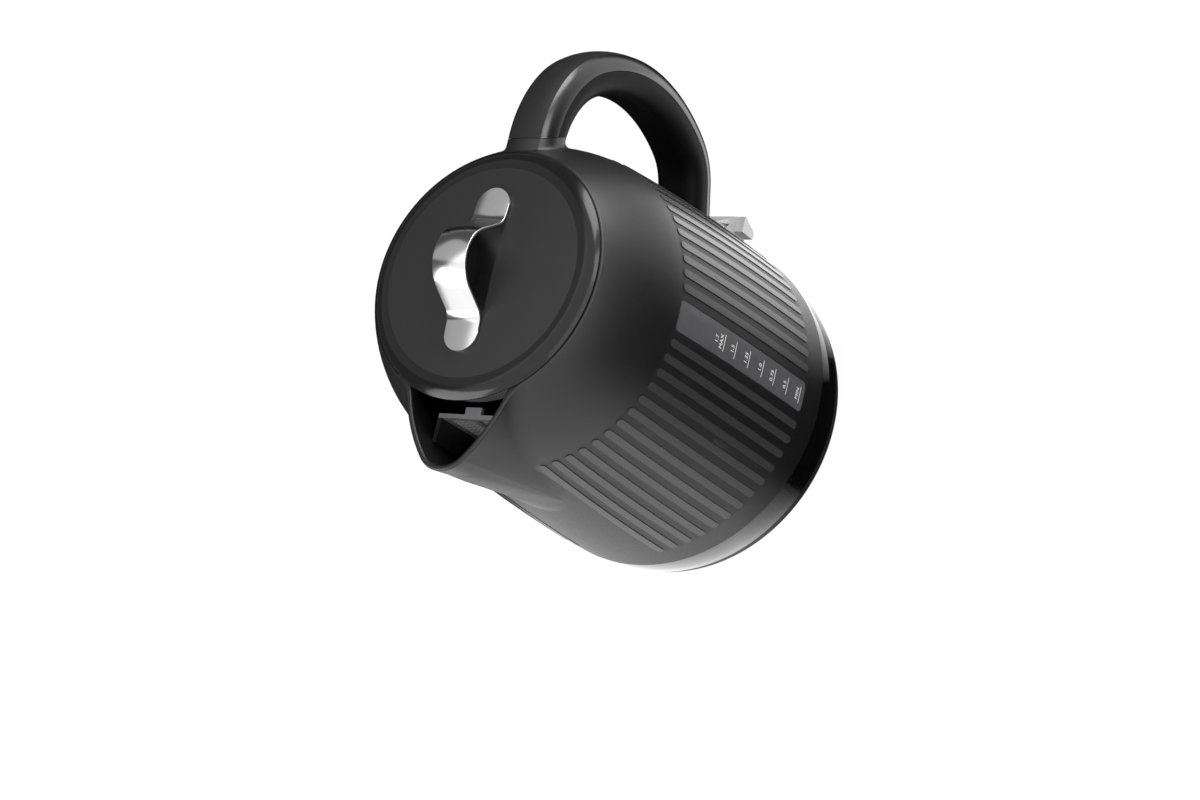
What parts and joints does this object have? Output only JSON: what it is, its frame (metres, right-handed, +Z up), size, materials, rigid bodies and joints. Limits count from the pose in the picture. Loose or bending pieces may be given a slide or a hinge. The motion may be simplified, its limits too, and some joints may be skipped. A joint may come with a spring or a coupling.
{
  "type": "electric kettle",
  "caption": "Cordless electric jug kettle with ribbed sides, an open spout, a loop handle, water windows, a lift-off lid with a steel strip grip and a switch lever below the handle.",
  "frame": {"origin": "on the jug's axis, in the plane that the foot ring stands on", "axes": "+Z up along the jug's axis, -X towards the spout, +X towards the handle"},
  "size_m": [0.2373, 0.1714, 0.2262],
  "materials": {
    "body_plastic": "satin moulded black",
    "band_gloss": "polished black",
    "foot_plastic": "fine moulded dark grey",
    "window_smoke": "smoky clear plastic",
    "handle_plastic": "satin moulded black",
    "inlay_plastic": "soft matt black",
    "grip_plastic": "matt moulded black",
    "lid_plastic": "satin moulded black",
    "lid_steel": "satin stainless steel",
    "switch_silver": "silver-grey moulded",
    "filter_grey": "moulded dark grey",
    "mesh_nylon": "woven nylon",
    "plate_steel": "stainless steel sheet",
    "spreader_aluminium": "pressed aluminium",
    "element_sheath": "drawn aluminium sheath",
    "contact_brass": "stamped brass",
    "screw_steel": "zinc plated steel",
    "pin_steel": "ground steel",
    "control_plastic": "moulded heat-resisting grey",
    "bimetal": "rolled bimetal",
    "seal_silicone": "moulded silicone",
    "tube_plastic": "moulded black"
  },
  "bodies": {
    "jug": {"body_shell": "body_plastic", "water_window_left": "window_smoke", "water_window_right": "window_smoke", "base_band": "band_gloss", "base_cover": "foot_plastic", "base_screws": "screw_steel", "plate_seal": "seal_silicone", "element_plate": "plate_steel", "clamp_ring": "control_plastic", "clamp_screws": "screw_steel", "heat_spreader": "spreader_aluminium", "heating_element": "element_sheath", "element_terminals": "pin_steel", "terminal_links": "contact_brass", "control_unit": "control_plastic", "earth_pin": "contact_brass", "contact_rings": "contact_brass", "bimetal_discs": "bimetal", "steam_tube": "tube_plastic", "steam_bimetal": "bimetal", "handle_outer_cover": "handle_plastic", "handle_inner_cover": "grip_plastic", "handle_inlay": "inlay_plastic", "lever_pin": "pin_steel", "rocker_pin": "pin_steel"},
    "lid": {"lid_top": "lid_plastic", "lid_skirt": "lid_plastic", "lid_seal": "seal_silicone", "lid_strip": "lid_steel", "strip_screws": "screw_steel"},
    "switch": {"switch_lever": "switch_silver"},
    "rocker": {"trip_rocker": "control_plastic"},
    "filter": {"filter_frame": "filter_grey", "filter_mesh": "mesh_nylon"}
  },
  "joints": [
    {"name": "lid_lift", "type": "slide", "parent": "jug", "child": "lid", "axis": [0, 0, 1], "range_m": [0, 0.06]},
    {"name": "switch_press", "type": "hinge", "parent": "jug", "child": "switch", "pos_m": [0.072, 0, 0.019], "axis": [0, 1, 0], "range_deg": [0, 9]},
    {"name": "rocker_trip", "type": "hinge", "parent": "jug", "child": "rocker", "pos_m": [0.052, 0, 0.0218], "axis": [0, 1, 0], "range_deg": [-9, 0]},
    {"name": "filter_unclip", "type": "slide", "parent": "jug", "child": "filter", "axis": [1, 0, 0], "range_m": [0, 0.012]}
  ],
  "couplings": [
    {"joint": "rocker_trip", "follows": "switch_press", "ratio": -1}
  ]
}
